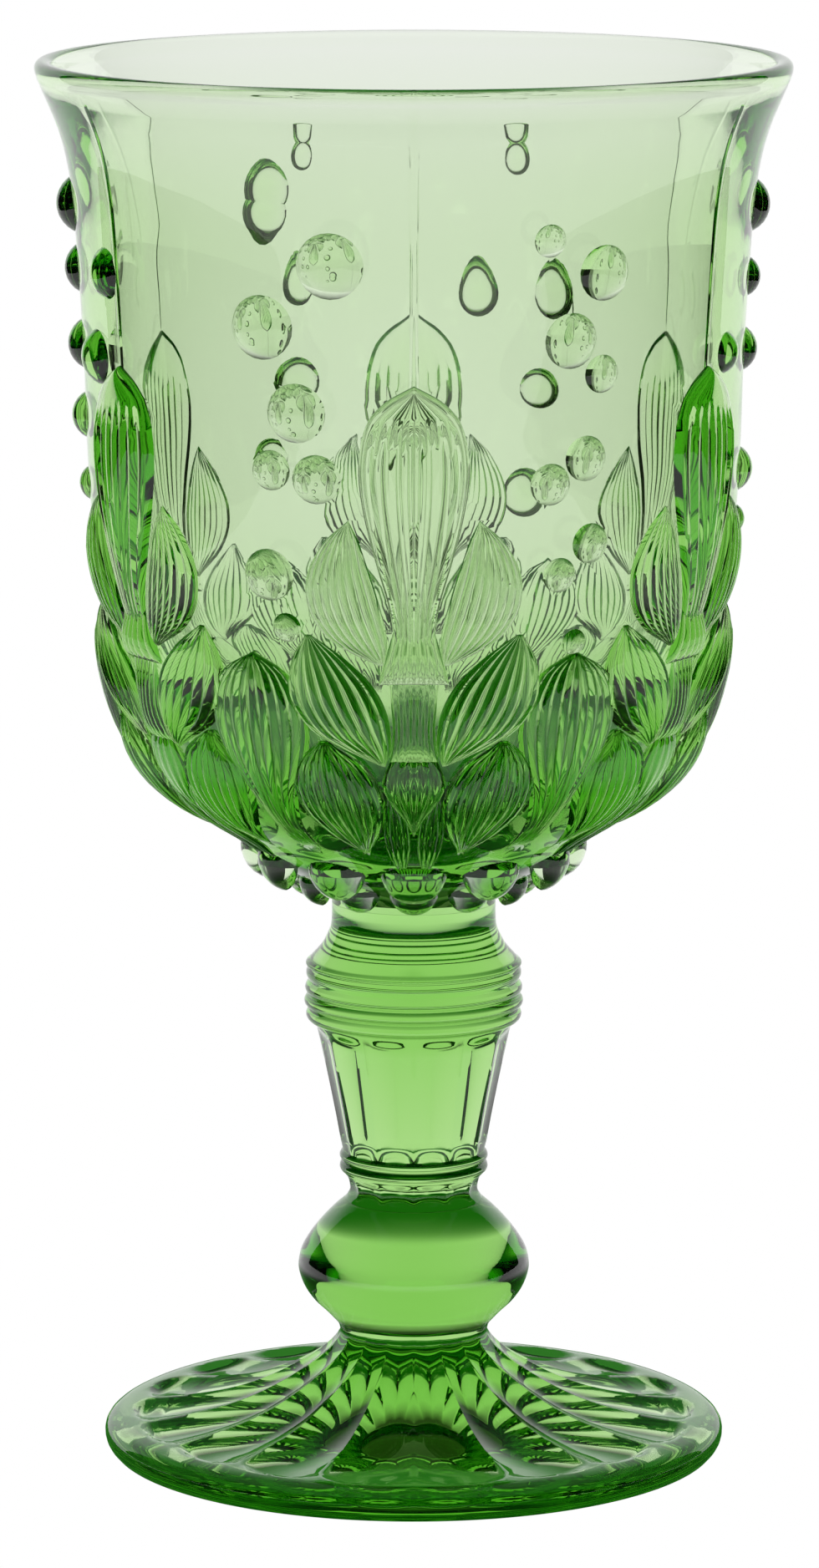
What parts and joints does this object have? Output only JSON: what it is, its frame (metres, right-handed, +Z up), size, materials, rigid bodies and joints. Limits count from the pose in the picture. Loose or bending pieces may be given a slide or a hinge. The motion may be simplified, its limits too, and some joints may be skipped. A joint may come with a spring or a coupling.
{
  "type": "wine glass",
  "caption": "Footed pressed-glass goblet: round bowl with leaf and dome relief, ringed and fluted stem, knop and a petalled foot.",
  "frame": {"origin": "centre of the foot's resting ring, on the surface that the glass stands on", "axes": "+Z up along the glass's axis; -Y is the front, where one motif of the bowl's relief faces"},
  "size_m": [0.0878, 0.0878, 0.165],
  "materials": {
    "bowl_glass": "clear pale green pressed glass, fire-polished and smooth, darker where it is thick",
    "stem_glass": "clear green pressed glass, solid and smooth",
    "knop_glass": "clear green pressed glass, solid and smooth",
    "foot_glass": "clear green pressed glass, solid, with shallow petals on top"
  },
  "bodies": {
    "root": {"bowl": "bowl_glass", "stem": "stem_glass", "knop": "knop_glass", "foot": "foot_glass"}
  },
  "joints": []
}
